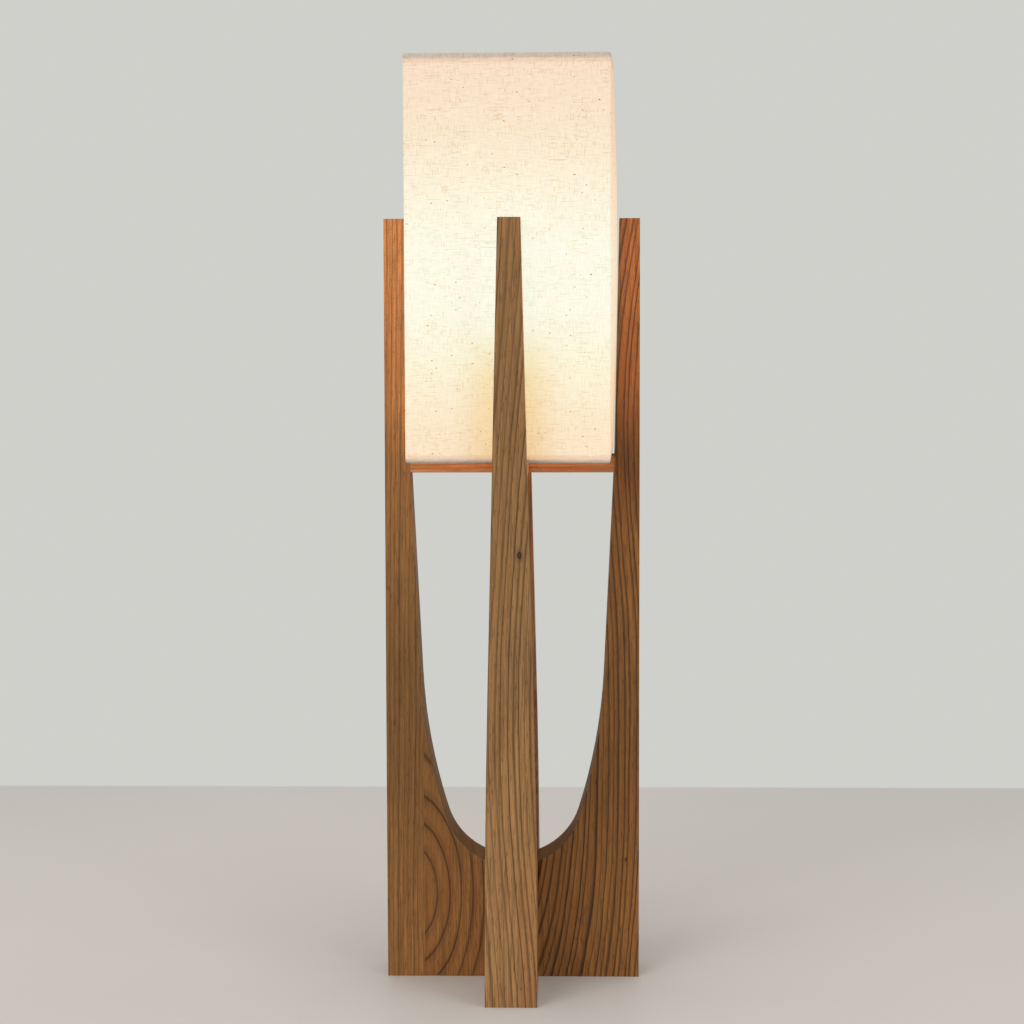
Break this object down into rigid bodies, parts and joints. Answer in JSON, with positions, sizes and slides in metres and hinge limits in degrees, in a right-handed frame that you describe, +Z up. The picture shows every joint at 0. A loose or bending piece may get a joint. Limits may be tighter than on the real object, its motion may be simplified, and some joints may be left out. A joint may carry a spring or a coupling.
{
  "type": "andon floor lamp",
  "caption": "Floor lamp: crossed U-shaped wooden panels with tall tapered uprights hold a square, lit linen shade on crossbars.",
  "frame": {"origin": "centre of the base on the floor", "axes": "+Z up; -Y to the front, the side pictured; +X to the right seen from the front"},
  "size_m": [0.25, 0.25, 0.9047],
  "materials": {
    "wood_stave": "oiled, straight grain",
    "wood_web": "oiled, arched grain",
    "wood_board": "oiled",
    "wood_bar": "oiled",
    "dowel": "plain beech",
    "linen": "natural linen with slubs",
    "lining": "translucent white",
    "wire": "white coated wire",
    "steel": "zinc plated",
    "black_plastic": "moulded",
    "holder_plastic": "moulded",
    "ceramic": "glazed ceramic",
    "brass": "plain",
    "tin": "solder",
    "nickel": "nickel plated",
    "white_plastic": "moulded",
    "board": "printed circuit board",
    "aluminium": "plain",
    "opal": "opal, lit"
  },
  "bodies": {
    "frame": {"left_stave": "wood_stave", "left_web": "wood_web", "right_board": "wood_board", "front_board": "wood_board", "back_web": "wood_web", "back_stave": "wood_stave", "side_crossbar": "wood_bar", "front_crossbar": "wood_bar", "panel_dowels": "dowel", "crossbar_dowels": "dowel", "threaded_nipple": "steel", "nipple_nut": "steel", "nipple_washer": "steel", "cord_bushing": "black_plastic", "holder_cap": "holder_plastic", "holder_insert": "ceramic", "holder_skirt": "holder_plastic", "screw_shell": "brass", "centre_contact": "brass", "terminal_screws": "brass"},
    "shade": {"shade_fabric": "linen", "shade_lining": "lining", "top_ring": "wire", "bottom_ring": "wire"},
    "bulb_contact": {"bulb_tip_contact": "tin"},
    "bulb": {"bulb_insulator": "black_plastic", "bulb_cap": "nickel", "bulb_housing": "white_plastic", "driver_board": "board", "led_board": "aluminium", "bulb_globe": "opal"}
  },
  "joints": [
    {"name": "shade_lift", "type": "slide", "parent": "frame", "child": "shade", "axis": [0, 0, 1], "range_m": [0, 0.25]},
    {"name": "bulb_rise", "type": "slide", "parent": "frame", "child": "bulb_contact", "axis": [0, 0, 1], "range_m": [0, 0.01815]},
    {"name": "bulb_turn", "type": "hinge", "parent": "bulb_contact", "child": "bulb", "pos_m": [0, 0, 0.5525], "axis": [0, 0, 1], "range_deg": [0, 1800]}
  ],
  "couplings": [
    {"joint": "bulb_rise", "follows": "bulb_turn", "m_per_rad": 0.00057757}
  ]
}
